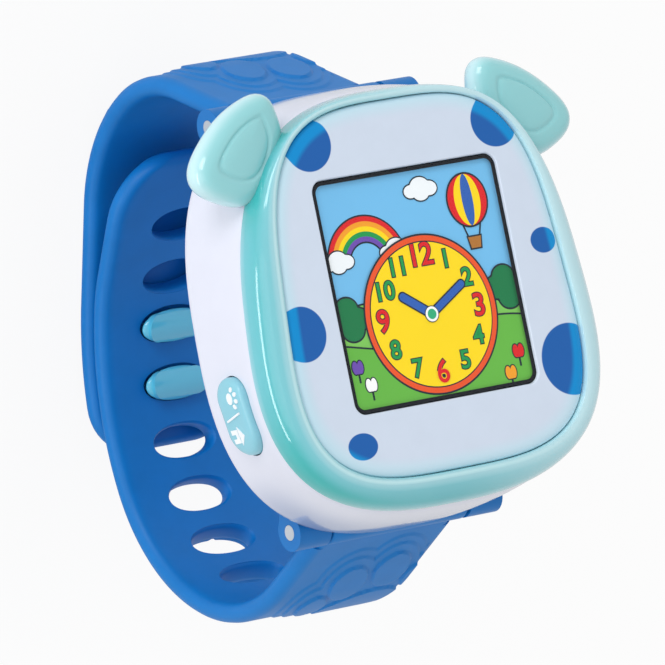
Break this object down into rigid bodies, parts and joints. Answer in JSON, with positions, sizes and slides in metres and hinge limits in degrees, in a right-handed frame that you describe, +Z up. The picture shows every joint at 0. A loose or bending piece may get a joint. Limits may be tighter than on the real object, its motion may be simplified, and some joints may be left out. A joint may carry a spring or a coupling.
{
  "type": "toy watch",
  "caption": "Child's toy watch with a square display, a light ring with two ears, side buttons and a looped strap closed by a peg clasp.",
  "frame": {"origin": "middle of the flat stretch of the strap's outer face that the watch lies on", "axes": "+Z up, square to the rest stretch; +X to 3 o'clock; +Y along the rest stretch, to the 12 o'clock side"},
  "size_m": [0.0536, 0.0694, 0.0643],
  "materials": {
    "white_shell": "gloss",
    "mint_ring": "gloss",
    "pale_panel": "gloss",
    "window": "polished",
    "black_foam": "matte",
    "display": "gloss",
    "white_tray": "matte",
    "amber_film": "satin",
    "board_green": "satin",
    "chip_black": "matte",
    "lamp_white": "satin",
    "teal_button": "gloss",
    "blue_plastic": "gloss",
    "steel": "satin",
    "brass_plate": "satin",
    "blue_silicone": "satin"
  },
  "bodies": {
    "case": {"case_shell": "white_shell", "light_ring": "mint_ring", "front_panel": "pale_panel", "window_lens": "window", "lcd_gasket": "black_foam", "lcd_glass": "display", "lcd_frame": "white_tray", "lcd_flex": "amber_film", "main_board": "board_green", "board_chips": "chip_black", "ring_leds": "lamp_white", "tact_switches": "chip_black", "speaker": "steel", "button_cells": "steel", "battery_contacts": "brass_plate", "battery_door": "blue_plastic", "door_screw": "steel", "back_cover": "blue_plastic", "case_screws": "steel", "board_screws": "steel", "upper_lug_pin": "steel", "lower_lug_pin": "steel"},
    "strap_upper": {"strap_upper": "blue_silicone", "strap_clasp": "teal_button"},
    "strap_lower": {"strap_lower": "blue_silicone"},
    "home_button": {"home_button": "teal_button"},
    "select_button": {"select_button": "teal_button"}
  },
  "joints": [
    {"name": "upper_strap_hinge", "type": "hinge", "parent": "case", "child": "strap_upper", "pos_m": [0, 0.02426, 0.03168], "axis": [1, 0, 0], "range_deg": [0, 16]},
    {"name": "lower_strap_hinge", "type": "hinge", "parent": "case", "child": "strap_lower", "pos_m": [0, -0.01937, 0.0502], "axis": [1, 0, 0], "range_deg": [0, 16]},
    {"name": "home_button_slide", "type": "slide", "parent": "case", "child": "home_button", "axis": [1, 0, 0], "range_m": [0, 0.0006], "stiffness_N_per_m": 600, "springref_m": -0.0005},
    {"name": "select_button_slide", "type": "slide", "parent": "case", "child": "select_button", "axis": [-1, 0, 0], "range_m": [0, 0.0006], "stiffness_N_per_m": 600, "springref_m": -0.0005}
  ],
  "couplings": [
    {"joint": "lower_strap_hinge", "follows": "upper_strap_hinge", "ratio": 1}
  ]
}
